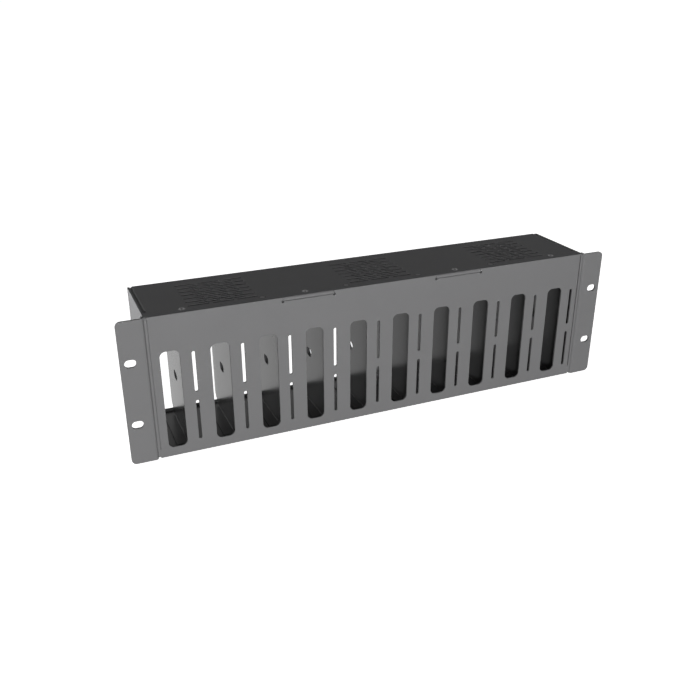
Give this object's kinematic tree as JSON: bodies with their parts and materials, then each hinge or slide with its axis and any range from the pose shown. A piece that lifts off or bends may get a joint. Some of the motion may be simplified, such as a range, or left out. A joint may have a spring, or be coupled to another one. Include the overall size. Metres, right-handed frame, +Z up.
{
  "type": "rack frame",
  "caption": "Shallow three-unit rack chassis frame with slotted front, vented cover, upright partitions and slotted ears, open at the back for slim modules.",
  "frame": {"origin": "middle of the overall width and depth, on the underside", "axes": "+X to the right seen from the front, +Y from the front towards the open back, +Z up"},
  "size_m": [0.4826, 0.0834, 0.1325],
  "materials": {
    "outer_sheet": "fine-textured dark grey powder coat",
    "inner_sheet": "smooth semi-gloss dark grey powder coat",
    "cover_screws": "black zinc plate",
    "dark_screws": "black zinc plate"
  },
  "bodies": {
    "root": {"front_panel": "outer_sheet", "wall_left": "outer_sheet", "wall_right": "outer_sheet", "top_cover": "outer_sheet", "bottom_plate": "inner_sheet", "top_rail": "inner_sheet", "ear_left": "outer_sheet", "ear_right": "outer_sheet", "partition_01": "inner_sheet", "partition_02": "inner_sheet", "partition_03": "inner_sheet", "partition_04": "inner_sheet", "partition_05": "inner_sheet", "partition_06": "inner_sheet", "partition_07": "inner_sheet", "partition_08": "inner_sheet", "partition_09": "inner_sheet", "partition_10": "inner_sheet", "cover_screws": "cover_screws", "ear_screws_left": "dark_screws", "ear_screws_right": "dark_screws", "wall_screws_left": "dark_screws", "wall_screws_right": "dark_screws"}
  },
  "joints": []
}
